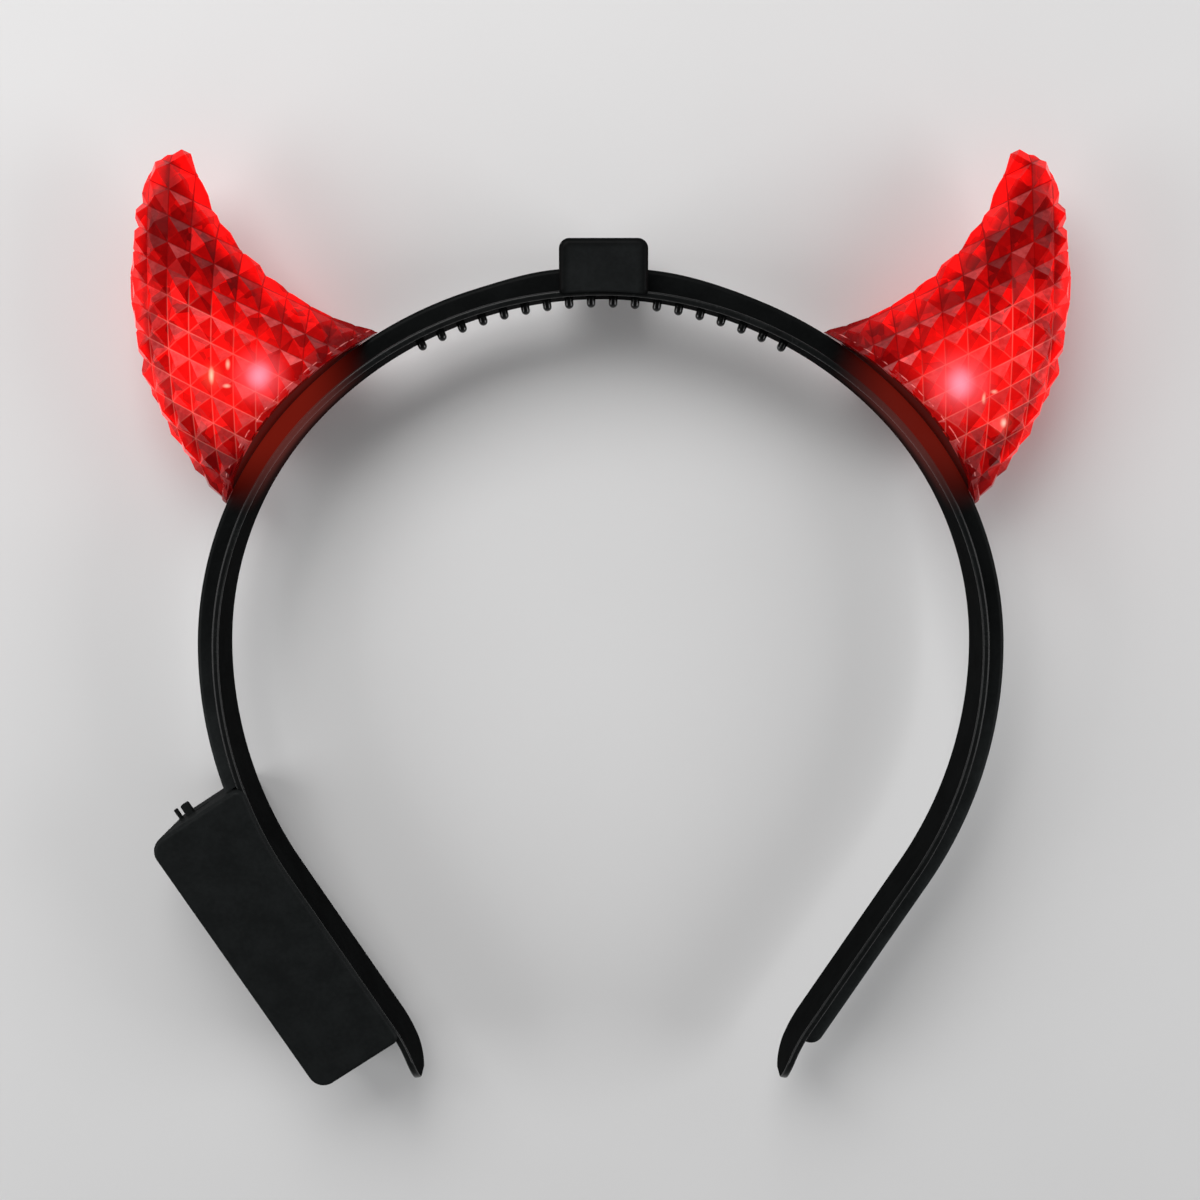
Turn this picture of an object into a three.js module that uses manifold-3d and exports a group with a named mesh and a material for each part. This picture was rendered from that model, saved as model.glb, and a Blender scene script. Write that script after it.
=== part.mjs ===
// A light-up horns headband lying on its back: a sprung hoop with a wire rail, two studded horns with a lamp in each,
// a small crown box and a battery box with a slide switch on the left leg.
// Millimetres, +Z up. X runs across the hoop, Y from the legs to the crown, Z from the back of the head to the front.
import * as THREE from 'three';
import { mergeVertices } from 'three/addons/utils/BufferGeometryUtils.js';
import Module from 'manifold-3d';

const wasm = await Module();
wasm.setup();

// Driving dimensions

const GAP = 0.3; // clearance between neighbouring pieces
const MID = 13.1; // height of the hoop's middle plane above the surface it lies on
const ROUND_PULL = 0.5523; // draws a curve's handles to a corner so that it follows a quarter circle
const ROUND_STEPS = [0.27, 0.58, 0.85]; // parts of a rounded end's length where its skin has a ring
const PAST = 5; // how far a cut runs past the piece it opens
const FAR = 40; // reach of a block that keeps all of a piece on one side

// Half of the hoop, from the top of the crown down to a tip, as arcs and lines that follow on from each other.
const BAND_RUN = [
  { stretch: 'crown', radius: 72.1, turn: 45.4, steps: 12 },
  { stretch: 'shoulder', radius: 60.9, turn: 43.4, steps: 11 },
  { stretch: 'side', radius: 74.1, turn: 34.4, steps: 9 },
  { stretch: 'leg', length: 34, steps: 3 },
  { stretch: 'tip', radius: 30, turn: -22, steps: 4 },
];
const BAND = { thickness: 1.2, depth: 12.5, edge: 0.45, tipRound: 5.4 };
const TEETH = { count: 18, spacing: 3.172, shift: 0.2, radius: 0.78, length: 1.8, root: 0.5, sides: 8 };

// The rail rises a little towards the crown box, between two distances from the crown.
const COVER = {
  height: 3.5, depth: 4.6, wall: 1, edge: 0.9, noseLength: 2.6, noseDrop: 0.8, pastLeg: 37.4,
  rise: 0.5, riseFrom: 24, riseTo: 9,
};

const CROWN_BOX = { centre: 0.5, width: 15.5, top: 81.3, depth: 15, corner: 1.8, edge: 1.1, wall: 1.6 };

// Places along the leg are counted from where it starts to run straight, and out from the hoop's middle line.
const BATTERY_BOX = {
  start: -19, end: 36, out: 17.5, front: 20.6, corner: 3, innerCorner: 1.6, edge: 0.9, wall: 1.6, backClear: 0.8,
  coverThickness: 1.6,
};
const SWITCH = {
  travel: 3, bladeOut: 12.6, bladeThickness: 0.5, bladeHeight: 2.3, blockOut: 10.65, blockThickness: 1.55,
  blockHeight: 2.3, depth: 1.3, plateThickness: 1, plateOverlap: 1, height: 10.3,
};

// A horn fills the space between a large outer circle and an inner one, drawn here for the right-hand side.
const HORN = {
  outer: { x: 30.15, y: 73.1, radius: 53.1 },
  inner: { x: 30.4, y: 107.5, radius: 43.3 },
  tip: 97.3, tipRound: 1.2, leastWidth: 1, depthGain: 0.656, depthPower: 0.8, fullness: 0.75, fallAway: -2,
  wall: 2, lip: 1, lipProud: 0.3, footFrom: 20, footTo: 105,
};
// The studs stand in the cells of a lattice whose rows rise from column to column, and are lower at the outline.
const STUD = {
  column: 3.93, row: 4.59, rise: 1.87, height: 1, edgeShare: 0.7, edgeReach: 4, x: 67.3, y: 72.35,
  columns: [-8, 5], rows: [-11, 9],
};
const SEAT = { thickness: 1.5 };
const LED = { run: 59, radius: 2.5, flange: 2.9, flangeHeight: 1, height: 8, sides: 14 };

const LOOKS = {
  black: { color: 0x17191a, roughness: 0.42, metalness: 0 },
  red: { color: 0xe01018, roughness: 0.18, metalness: 0, emissive: 0x8a0006, transparent: true, opacity: 0.85 },
  lamp: { color: 0xffb0a8, roughness: 0.2, metalness: 0, emissive: 0xff4038 },
};

const bandHalf = BAND.thickness / 2;
const coverOut = bandHalf + COVER.height;
const hornBase = coverOut + GAP;

// Solids

function solidOf(geometry) {
  const bare = geometry.index ? geometry.toNonIndexed() : geometry.clone();
  for (const name of Object.keys(bare.attributes)) {
    if (name !== 'position') bare.deleteAttribute(name);
  }
  const merged = mergeVertices(bare, 1e-4);
  const triangles = [];
  for (let t = 0; t < merged.index.count; t += 3) {
    const [a, b, c] = [0, 1, 2].map((k) => merged.index.getX(t + k));
    if (a !== b && b !== c && c !== a) triangles.push(a, b, c);
  }
  return new wasm.Manifold(new wasm.Mesh({
    numProp: 3,
    vertProperties: merged.attributes.position.array,
    triVerts: new Uint32Array(triangles),
  }));
}

function geometryOf(solid) {
  const mesh = solid.getMesh();
  const geometry = new THREE.BufferGeometry();
  geometry.setAttribute('position', new THREE.BufferAttribute(new Float32Array(mesh.vertProperties), 3));
  geometry.setIndex(new THREE.BufferAttribute(new Uint32Array(mesh.triVerts), 1));
  geometry.computeVertexNormals();
  return geometry;
}

// A closed skin over rings of equal length, each counter-clockwise about the direction from ring to ring.
function loft(rings) {
  const around = rings[0].length;
  const faces = [];
  for (let r = 0; r + 1 < rings.length; r += 1) {
    for (let k = 0; k < around; k += 1) {
      const a = r * around + k;
      const b = r * around + ((k + 1) % around);
      faces.push(a, b, b + around, a, b + around, a + around);
    }
  }
  const last = (rings.length - 1) * around;
  for (let k = 1; k + 1 < around; k += 1) {
    faces.push(0, k + 1, k, last, last + k, last + k + 1);
  }
  return new THREE.BufferGeometry().setFromPoints(rings.flat()).setIndex(faces);
}

// A flat outline made solid between two heights, with its edges rounded by the given radius.
function slab(shape, from, to, edge = 0) {
  const geometry = new THREE.ExtrudeGeometry(shape, {
    depth: to - from - 2 * edge,
    curveSegments: 6,
    bevelEnabled: edge > 0,
    bevelThickness: edge,
    bevelSize: edge,
    bevelOffset: -edge,
    bevelSegments: 3,
  });
  return solidOf(geometry.translate(0, 0, from + edge));
}

// An outline through the corners in order, each rounded by its own radius.
function roundedOutline(corners) {
  const shape = new THREE.Shape();
  corners.forEach(({ at, round = 0 }, k) => {
    const before = corners[(k + corners.length - 1) % corners.length].at;
    const after = corners[(k + 1) % corners.length].at;
    const start = before.clone().sub(at).setLength(round).add(at);
    const end = after.clone().sub(at).setLength(round).add(at);
    if (k === 0) shape.moveTo(start.x, start.y);
    else shape.lineTo(start.x, start.y);
    const leave = start.clone().lerp(at, ROUND_PULL);
    const arrive = end.clone().lerp(at, ROUND_PULL);
    if (round > 0) shape.bezierCurveTo(leave.x, leave.y, arrive.x, arrive.y, end.x, end.y);
  });
  shape.closePath();
  return shape;
}

// The profile of a round end: a quarter circle that closes on the axis at the full length.
function domeProfile(radius, length, steps) {
  return Array.from({ length: steps + 1 }, (_, k) => {
    const angle = (Math.PI * k) / (2 * steps);
    return [k < steps ? radius * Math.cos(angle) : 0, length - radius * (1 - Math.sin(angle))];
  });
}

function turned(profile, sides) {
  return new THREE.LatheGeometry(profile.map(([r, h]) => new THREE.Vector2(r, h)), sides);
}

// The hoop's run

// Each stretch with the place and heading it starts at; the heading turns clockwise from +X.
function layOutRun() {
  let distance = 0;
  let heading = 0;
  let place = new THREE.Vector2(0, BAND_RUN[0].radius);
  return BAND_RUN.map((row) => {
    const turn = THREE.MathUtils.degToRad(row.turn ?? 0);
    const length = row.length ?? row.radius * Math.abs(turn);
    const stretch = { ...row, turn, length, start: distance, heading, place };
    place = onStretch(stretch, length).place;
    distance += length;
    heading += turn;
    return stretch;
  });
}

function onStretch({ place, heading, turn, length }, along) {
  const now = heading + (turn * along) / length;
  if (turn === 0) {
    const step = new THREE.Vector2(Math.cos(heading), -Math.sin(heading)).multiplyScalar(along);
    return { place: place.clone().add(step), heading };
  }
  const radius = length / turn;
  const step = new THREE.Vector2(Math.sin(now) - Math.sin(heading), Math.cos(now) - Math.cos(heading));
  return { place: place.clone().add(step.multiplyScalar(radius)), heading: now };
}

const run = layOutRun();
const runEnd = run.at(-1).start + run.at(-1).length;
const leg = run.find((row) => row.stretch === 'leg');

// A point of the hoop's middle line moved outwards, at a distance from the crown that is negative on the left.
function bandPoint(distance, out = 0) {
  const along = Math.abs(distance);
  const stretch = run.findLast((row) => row.start <= along + 1e-9);
  const { place, heading } = onStretch(stretch, along - stretch.start);
  const x = place.x + out * Math.sin(heading);
  const y = place.y + out * Math.cos(heading);
  return new THREE.Vector2(distance < 0 ? -x : x, y);
}

// Even steps on every stretch of both halves, kept between two distances and closed with those.
const allStations = run.flatMap(({ start, length, steps }) =>
  Array.from({ length: steps }, (_, k) => start + (length * k) / steps));
const bothSides = [...allStations.slice(1).map((d) => -d).reverse(), ...allStations];

function stations(from, to) {
  const leastStep = 0.2;
  return [from, ...bothSides.filter((d) => d > from + leastStep && d < to - leastStep), to];
}

// The rings of a rounded end, from where it starts to draw in up to just before it closes.
function endSteps(end, length) {
  return ROUND_STEPS.map((part) => end - length * (1 - part));
}

// A closed section in (out, depth) with rounded corners, counter-clockwise.
function section(inside, outside, halfDepth, edges, steps = 2) {
  const corners = [
    { out: outside, depth: halfDepth, edge: edges.outside, from: 0 },
    { out: inside, depth: halfDepth, edge: edges.inside, from: 90 },
    { out: inside, depth: -halfDepth, edge: edges.inside, from: 180 },
    { out: outside, depth: -halfDepth, edge: edges.outside, from: 270 },
  ];
  return corners.flatMap(({ out, depth, edge, from }) => {
    const count = edge > 0 ? steps : 0;
    return Array.from({ length: count + 1 }, (_, k) => {
      const angle = THREE.MathUtils.degToRad(from + (count ? (90 * k) / count : 45));
      const towards = from === 0 || from === 270 ? -1 : 1;
      const up = from < 180 ? -1 : 1;
      return [out + edge * (towards + Math.cos(angle)), depth + edge * (up + Math.sin(angle))];
    });
  });
}

function sweep(distances, sectionAt) {
  const rings = distances.map((distance) =>
    sectionAt(distance).map(([out, depth]) => {
      const { x, y } = bandPoint(distance, out);
      return new THREE.Vector3(x, y, MID + depth);
    }));
  return solidOf(loft(rings));
}

// How far a rounded end of the given length has drawn in, at a distance left to that end.
function drawIn(left, length) {
  const short = Math.max(0, length - left);
  return length - Math.sqrt(Math.max(0, length * length - short * short));
}

// The hoop

function bandSolid() {
  const tipSteps = endSteps(runEnd, BAND.tipRound);
  const inner = stations(-runEnd + BAND.tipRound, runEnd - BAND.tipRound);
  const distances = [-runEnd, ...tipSteps.map((d) => -d).reverse(), ...inner, ...tipSteps, runEnd];
  const edges = { inside: BAND.edge, outside: BAND.edge };
  let band = sweep(distances, (distance) => {
    const short = drawIn(runEnd - Math.abs(distance), BAND.tipRound);
    return section(-bandHalf, bandHalf, BAND.depth / 2 - short, edges);
  });
  for (let k = 0; k < TEETH.count; k += 1) {
    band = band.add(tooth((k - (TEETH.count - 1) / 2) * TEETH.spacing + TEETH.shift));
  }
  return band;
}

// One comb tooth under the crown, at an angle from the top: a peg with a rounded end that points to the head.
function tooth(degrees) {
  const { radius, length, root, sides } = TEETH;
  const profile = [[0, -root], [radius, -root], ...domeProfile(radius, length, 2)];
  const angle = THREE.MathUtils.degToRad(degrees);
  const face = BAND_RUN[0].radius - bandHalf;
  const peg = turned(profile, sides);
  peg.rotateZ(Math.PI - angle);
  peg.translate(face * Math.sin(angle), face * Math.cos(angle), MID);
  return solidOf(peg);
}

// The space that the hoop needs inside a box that wraps it.
function bandRoom(from, to) {
  const sharp = { inside: 0, outside: 0 };
  return sweep(stations(from, to), () =>
    section(-bandHalf - GAP, bandHalf + GAP, BAND.depth / 2 + GAP, sharp));
}

// The wire rail

function coverSolid(from, to, noseAtEnd) {
  const inside = bandHalf + GAP;
  const edges = { inside: 0, outside: COVER.edge };
  const sharp = { inside: 0, outside: 0 };
  const straightEnd = noseAtEnd ? to - COVER.noseLength : to;
  const nose = noseAtEnd ? [...endSteps(to, COVER.noseLength), to] : [];
  const rail = sweep([...stations(from, straightEnd), ...nose], (distance) => {
    const low = noseAtEnd ? COVER.noseDrop * drawIn(to - distance, COVER.noseLength) : 0;
    return section(inside, coverOut + riseAt(distance) - low, COVER.depth / 2, edges);
  });
  const channel = sweep(stations(from - PAST, noseAtEnd ? straightEnd : to + PAST), () =>
    section(inside - PAST, coverOut - COVER.wall, COVER.depth / 2 - COVER.wall, sharp));
  return rail.subtract(channel);
}

function riseAt(distance) {
  return COVER.rise * (1 - THREE.MathUtils.smoothstep(Math.abs(distance), COVER.riseTo, COVER.riseFrom));
}

// Where a rail ends beside the crown box.
function besideCrownBox(side) {
  const wall = Math.abs(CROWN_BOX.centre * side + CROWN_BOX.width / 2) + GAP;
  const { radius } = BAND_RUN[0];
  return side * radius * Math.asin(wall / (radius + bandHalf + GAP));
}

// The crown box

function crownBoxSolid() {
  const { centre, width, top, depth, corner, edge, wall } = CROWN_BOX;
  const { radius } = BAND_RUN[0];
  const onBand = (x) => new THREE.Vector2(x, Math.sqrt(radius * radius - x * x));
  const [left, right] = [centre - width / 2, centre + width / 2];
  const outline = roundedOutline([
    { at: onBand(left), round: corner },
    { at: onBand(centre - width / 6) },
    { at: onBand(centre + width / 6) },
    { at: onBand(right), round: corner },
    { at: new THREE.Vector2(right, top), round: corner },
    { at: new THREE.Vector2(left, top), round: corner },
  ]);
  const hollow = roundedOutline([
    { at: new THREE.Vector2(left + wall, radius - wall) },
    { at: new THREE.Vector2(right - wall, radius - wall) },
    { at: new THREE.Vector2(right - wall, top - wall) },
    { at: new THREE.Vector2(left + wall, top - wall) },
  ]);
  const inner = slab(hollow, MID - BAND.depth / 2 + wall, MID + BAND.depth / 2 - wall);
  return slab(outline, MID - depth / 2, MID + depth / 2, edge).subtract(inner).subtract(bandRoom(-width, width));
}

// The battery box on the left leg

const legDown = new THREE.Vector2(-Math.cos(leg.heading), -Math.sin(leg.heading));
const legOut = new THREE.Vector2(-Math.sin(leg.heading), Math.cos(leg.heading));
const legStart = bandPoint(-leg.start);

function besideLeg(along, out) {
  return legStart.clone().addScaledVector(legDown, along).addScaledVector(legOut, out);
}

function legRectangle(start, end, inside, outside) {
  return roundedOutline([
    { at: besideLeg(start, inside) }, { at: besideLeg(end, inside) },
    { at: besideLeg(end, outside) }, { at: besideLeg(start, outside) },
  ]);
}

const batteryRoom = {
  start: BATTERY_BOX.start + BATTERY_BOX.wall,
  end: BATTERY_BOX.end - BATTERY_BOX.wall,
  inside: bandHalf + GAP + BATTERY_BOX.wall,
  outside: BATTERY_BOX.out - BATTERY_BOX.wall,
};

function batteryBoxSolid() {
  const { start, end, out, front, corner, innerCorner, edge, wall } = BATTERY_BOX;
  const onBand = stations(-leg.start - end, -leg.start - start).reverse();
  const innerSide = onBand.map((distance) => ({ at: bandPoint(distance, -bandHalf) }));
  innerSide[0] = { at: besideLegOnBand(start), round: innerCorner };
  innerSide[innerSide.length - 1] = { at: besideLeg(end, -bandHalf), round: innerCorner };
  const outline = roundedOutline([
    ...innerSide,
    { at: besideLeg(end, out), round: corner },
    { at: besideLeg(start, out), round: corner },
  ]);
  const { inside, outside } = batteryRoom;
  const room = slab(legRectangle(batteryRoom.start, batteryRoom.end, inside, outside), -PAST, front - wall);
  const [bandFrom, bandTo] = [-leg.start - end - PAST, -leg.start - start + PAST];
  return slab(outline, 0, front, edge)
    .subtract(room)
    .subtract(switchSlot())
    .subtract(bandRoom(bandFrom, bandTo))
    .subtract(behindBand(bandFrom, bandTo));
}

// The clear space behind the hoop, where the box stands back from its outer face.
function behindBand(from, to) {
  const clear = bandHalf + GAP + BATTERY_BOX.backClear;
  const low = -MID - PAST;
  const high = -BAND.depth / 2;
  return sweep(stations(from, to), () => [[clear, low], [clear, high], [-clear, high], [-clear, low]]);
}

// The point of the hoop's inner face that is level with a place along the leg, on the curved side above it.
function besideLegOnBand(along) {
  const side = run.find((row) => row.stretch === 'side');
  const angle = Math.asin(-along / side.radius);
  return besideLeg(along, -side.radius * (1 - Math.cos(angle)) - bandHalf);
}

function batteryCoverSolid() {
  const { start, end, inside, outside } = batteryRoom;
  const outline = legRectangle(start + GAP, end - GAP, inside + GAP, outside - GAP);
  return slab(outline, 0, BATTERY_BOX.coverThickness);
}

// The slide switch in the upper end of the battery box

const knobInside = SWITCH.blockOut - SWITCH.blockThickness / 2;
const knobOutside = SWITCH.bladeOut + SWITCH.bladeThickness / 2;

function switchSlot() {
  const { start, wall } = BATTERY_BOX;
  const outline = legRectangle(start - wall, start + 2 * wall, knobInside - SWITCH.travel - GAP, knobOutside + GAP);
  return slab(outline, SWITCH.height - SWITCH.depth / 2 - GAP, SWITCH.height + SWITCH.depth / 2 + GAP);
}

function switchSolid() {
  const { start, wall } = BATTERY_BOX;
  const { height, depth, plateOverlap, plateThickness } = SWITCH;
  const [low, high] = [height - depth / 2, height + depth / 2];
  const plateTop = start + wall + GAP;
  const plateEnd = plateTop + plateThickness;
  const plate = legRectangle(plateTop, plateEnd, knobInside - plateOverlap, knobOutside + plateOverlap);
  const neck = legRectangle(start, plateTop + plateThickness / 2, knobInside, knobOutside);
  const rib = (middle, thickness, tall) =>
    legRectangle(start - tall, start + wall / 2, middle - thickness / 2, middle + thickness / 2);
  return slab(plate, low - plateOverlap, high + plateOverlap)
    .add(slab(neck, low, high))
    .add(slab(rib(SWITCH.blockOut, SWITCH.blockThickness, SWITCH.blockHeight), low, high))
    .add(slab(rib(SWITCH.bladeOut, SWITCH.bladeThickness, SWITCH.bladeHeight), low, high));
}

// The horns

// How far a place lies inside a horn's outer circle, and outside its inner one.
function fromCircles(x, y) {
  return {
    fromOuter: HORN.outer.radius - Math.hypot(x - HORN.outer.x, y - HORN.outer.y),
    fromInner: Math.hypot(x - HORN.inner.x, y - HORN.inner.y) - HORN.inner.radius,
  };
}

// Half the depth of a horn at a place, drawn in all round by an inset; below zero outside the horn's outline.
function hornHeight(x, y, inset) {
  const { fromOuter, fromInner } = fromCircles(x, y);
  const width = Math.max(HORN.leastWidth, fromOuter + fromInner - 2 * inset);
  const across = (fromOuter - fromInner) / width;
  const along = Math.max(0, (y - HORN.tip + inset + HORN.tipRound) / HORN.tipRound);
  const room = Math.max(HORN.fallAway, 1 - across * across - along * along);
  const half = HORN.depthGain * Math.max(HORN.leastWidth, fromOuter + fromInner) ** HORN.depthPower - inset;
  return half * Math.sign(room) * Math.abs(room) ** HORN.fullness;
}

// A node of the slanted lattice that the studs stand on.
function latticePoint(column, row, fine) {
  const x = STUD.x + (column / fine) * STUD.column;
  return new THREE.Vector2(x, STUD.y + (row / fine) * STUD.row + (column / fine) * STUD.rise);
}

// A stud's share of its full height: it falls towards the outline.
function studShare({ x, y }) {
  const { fromOuter, fromInner } = fromCircles(x, y);
  const part = THREE.MathUtils.clamp(Math.min(fromOuter, fromInner) / STUD.edgeReach, 0, 1);
  return STUD.edgeShare + (1 - STUD.edgeShare) * part;
}

function onHorn({ x, y }, inset, raised = 0) {
  const step = 0.2;
  const height = hornHeight(x, y, inset);
  const slopeX = (hornHeight(x + step, y, inset) - hornHeight(x - step, y, inset)) / (2 * step);
  const slopeY = (hornHeight(x, y + step, inset) - hornHeight(x, y - step, inset)) / (2 * step);
  return new THREE.Vector3(-slopeX, -slopeY, 1).setLength(raised).add(new THREE.Vector3(x, y, height));
}

// Everything on one side of a horn's front or back skin, as a thick block whose face carries the lattice.
function hornBlock(facing, inset, studHeight, fine) {
  const [firstColumn, lastColumn] = STUD.columns.map((column) => column * fine);
  const [firstRow, lastRow] = STUD.rows.map((row) => row * fine);
  const across = lastColumn - firstColumn + 1;
  const down = lastRow - firstRow + 1;
  const points = [];
  const faces = [];
  const keep = (point) => points.push(new THREE.Vector3(point.x, point.y, MID + facing * point.z)) - 1;
  const face = (a, b, c) => (facing > 0 ? faces.push(a, b, c) : faces.push(a, c, b));
  for (const deep of [false, true]) {
    for (let r = firstRow; r <= lastRow; r += 1) {
      for (let c = firstColumn; c <= lastColumn; c += 1) {
        const node = latticePoint(c, r, fine);
        keep(deep ? new THREE.Vector3(node.x, node.y, -FAR) : onHorn(node, inset));
      }
    }
  }
  const deepFrom = across * down;
  for (let r = 0; r + 1 < down; r += 1) {
    for (let c = 0; c + 1 < across; c += 1) {
      const a = r * across + c;
      const ring = [a, a + 1, a + 1 + across, a + across];
      if (studHeight > 0) {
        const centre = latticePoint(firstColumn + c + 0.5, firstRow + r + 0.5, fine);
        const apex = keep(onHorn(centre, inset, studHeight * studShare(centre)));
        ring.forEach((corner, k) => face(corner, ring[(k + 1) % 4], apex));
      } else {
        face(ring[0], ring[1], ring[3]);
        face(ring[1], ring[2], ring[3]);
      }
      const [p, q, s, t] = ring.map((corner) => corner + deepFrom);
      face(p, s, q);
      face(p, t, s);
    }
  }
  const rim = [];
  for (let c = 0; c < across - 1; c += 1) rim.push(c);
  for (let r = 0; r < down - 1; r += 1) rim.push(r * across + across - 1);
  for (let c = across - 1; c > 0; c -= 1) rim.push((down - 1) * across + c);
  for (let r = down - 1; r > 0; r -= 1) rim.push(r * across);
  rim.forEach((a, k) => {
    const b = rim[(k + 1) % rim.length];
    face(a, a + deepFrom, b);
    face(b, a + deepFrom, b + deepFrom);
  });
  return solidOf(new THREE.BufferGeometry().setFromPoints(points).setIndex(faces));
}

function hornBody(inset, studHeight = 0, fine = 1) {
  return hornBlock(1, inset, studHeight, fine).intersect(hornBlock(-1, inset, studHeight, fine));
}

// The space from one offset of the hoop's right shoulder to another, through the full depth.
function offsetStrip(inside, outside) {
  const distances = stations(HORN.footFrom, HORN.footTo);
  const outline = [
    ...distances.map((distance) => bandPoint(distance, outside)),
    ...distances.map((distance) => bandPoint(distance, inside)).reverse(),
  ];
  return slab(new THREE.Shape(outline.reverse()), MID - FAR, MID + FAR);
}

function hornSolid() {
  const room = hornBody(HORN.wall);
  const studded = hornBody(0, STUD.height).subtract(offsetStrip(-FAR, hornBase + HORN.lip / 2));
  const lip = hornBody(-HORN.lipProud, 0, 2).intersect(offsetStrip(hornBase, hornBase + HORN.lip));
  return studded.add(lip).subtract(room);
}

function seatSolid() {
  return hornBody(HORN.wall + GAP).intersect(offsetStrip(hornBase, hornBase + SEAT.thickness));
}

// The lamp stands on the seat and points along the horn.
function lampGeometry() {
  const { radius, flange, flangeHeight, height, sides, run: distance } = LED;
  const skirt = [[0, 0], [flange, 0], [flange, flangeHeight], [radius, flangeHeight]];
  const lamp = turned([...skirt, ...domeProfile(radius, height, 3)], sides);
  const foot = bandPoint(distance, hornBase + SEAT.thickness + GAP);
  const ahead = bandPoint(distance, hornBase + SEAT.thickness + GAP + 1).sub(foot);
  lamp.rotateZ(Math.atan2(ahead.y, ahead.x) - Math.PI / 2);
  return lamp.translate(foot.x, foot.y, MID);
}

// Assembly

const materials = Object.fromEntries(
  Object.entries(LOOKS).map(([name, look]) => [name, new THREE.MeshStandardMaterial(look)]));

const headband = new THREE.Group();

function place(name, geometry, look, mirrored = false) {
  const mesh = new THREE.Mesh(geometry, materials[look]);
  mesh.name = name;
  if (mirrored) mesh.scale.x = -1;
  headband.add(mesh);
}

// The left rail runs down to the upper end of the battery box and is cut level with it.
function leftCoverSolid() {
  const { start, end, out, front, wall } = BATTERY_BOX;
  const boxEnd = slab(legRectangle(start - GAP, end, -out, out), -PAST, front + PAST);
  return coverSolid(-leg.start - start - 2 * wall, besideCrownBox(-1), false).subtract(boxEnd);
}

place('band', geometryOf(bandSolid()), 'black');
place('wire_cover_left', geometryOf(leftCoverSolid()), 'black');
place('wire_cover_right', geometryOf(coverSolid(besideCrownBox(1), leg.start + COVER.pastLeg, true)), 'black');
place('crown_box', geometryOf(crownBoxSolid()), 'black');
place('battery_box', geometryOf(batteryBoxSolid()), 'black');
place('battery_cover', geometryOf(batteryCoverSolid()), 'black');
place('switch_knob', geometryOf(switchSolid()), 'black');
for (const [side, mirrored] of [['right', false], ['left', true]]) {
  place(`horn_${side}`, geometryOf(hornSolid()), 'red', mirrored);
  place(`horn_seat_${side}`, geometryOf(seatSolid()), 'black', mirrored);
  place(`led_${side}`, geometryOf(solidOf(lampGeometry())), 'lamp', mirrored);
}

// The origin lies under the middle of the headband, on the surface it rests on.
const extent = new THREE.Box3().setFromObject(headband);
const middle = extent.getCenter(new THREE.Vector3());
headband.position.set(-middle.x, -middle.y, -extent.min.z);
const part = new THREE.Group();
part.add(headband);

export default part;
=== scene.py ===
"""Looks of the light-up horns headband.

Sizes are in millimetres and become metres when a mesh is made. The hoop lies on its back: +Y runs from
the leg tips to the horn tips, +Z from the back of the head to the front.
"""

import math

import bmesh
import bpy
import numpy as np
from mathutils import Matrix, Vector


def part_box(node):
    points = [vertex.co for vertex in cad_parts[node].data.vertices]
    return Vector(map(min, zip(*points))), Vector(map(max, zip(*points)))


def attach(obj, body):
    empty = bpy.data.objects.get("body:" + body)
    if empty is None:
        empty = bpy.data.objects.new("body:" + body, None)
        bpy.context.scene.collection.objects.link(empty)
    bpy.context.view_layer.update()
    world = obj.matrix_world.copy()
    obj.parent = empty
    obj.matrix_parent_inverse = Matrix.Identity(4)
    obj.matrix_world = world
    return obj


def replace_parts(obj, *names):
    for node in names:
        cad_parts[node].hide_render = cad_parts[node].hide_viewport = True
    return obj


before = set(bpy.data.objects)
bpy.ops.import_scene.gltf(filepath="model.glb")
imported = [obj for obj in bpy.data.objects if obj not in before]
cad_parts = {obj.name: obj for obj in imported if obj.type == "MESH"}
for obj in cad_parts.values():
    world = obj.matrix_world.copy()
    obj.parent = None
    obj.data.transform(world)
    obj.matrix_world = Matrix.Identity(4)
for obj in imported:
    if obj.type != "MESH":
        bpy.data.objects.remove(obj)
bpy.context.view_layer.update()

MM = 0.001
# Edges that fold by more than this angle stay sharp.
SHARP_ANGLE = 40.0

# Driving sizes

GAP = 0.3
BAND_RUN = [
    dict(stretch="crown", radius=72.1, turn=45.4),
    dict(stretch="shoulder", radius=60.9, turn=43.4),
    dict(stretch="side", radius=74.1, turn=34.4),
    dict(stretch="leg", length=34.0, turn=0.0),
    dict(stretch="tip", radius=30.0, turn=-22.0),
]
CROWN_RADIUS = BAND_RUN[0]["radius"]
SIDE_RADIUS = BAND_RUN[2]["radius"]
BAND = dict(half=0.6, depth=12.5, edge=0.45, tip_round=5.4, tip_edge_loss=0.3, stations=170, tip_stations=14)
TEETH = dict(count=18, spacing=3.172, shift=0.2, radius=0.78, length=1.8, root=0.4, sides=20, dome_steps=7)
RAIL = dict(inside=BAND["half"] + 0.06, groove=0.25, end_gap=0.05, outside=4.1, depth=4.6, edge=0.9,
            past_leg=37.4, rise=0.5, rise_from=24.0, rise_to=9.0, stations=150)
NOSE = dict(length=2.6, drop=0.8, narrow=0.35, edge_loss=0.2, stations=12)
CROWN_BOX = dict(centre=0.5, width=15.5, top=81.3, depth=15.0, corner=1.8, foot_corner=0.7, edge=1.1,
                 foot_points=13, foot_edge_loss=0.85)
BATTERY_BOX = dict(start=-19.0, end=36.0, out=17.5, front=20.6, corner=3.0, inner_corner=1.6, edge=0.9,
                   wall=1.6, room_corner=0.8, back_clear=0.8, lid=1.6, lid_corner=0.5, lid_edge=0.25,
                   inner_points=14, corner_clear=1.4)
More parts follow.
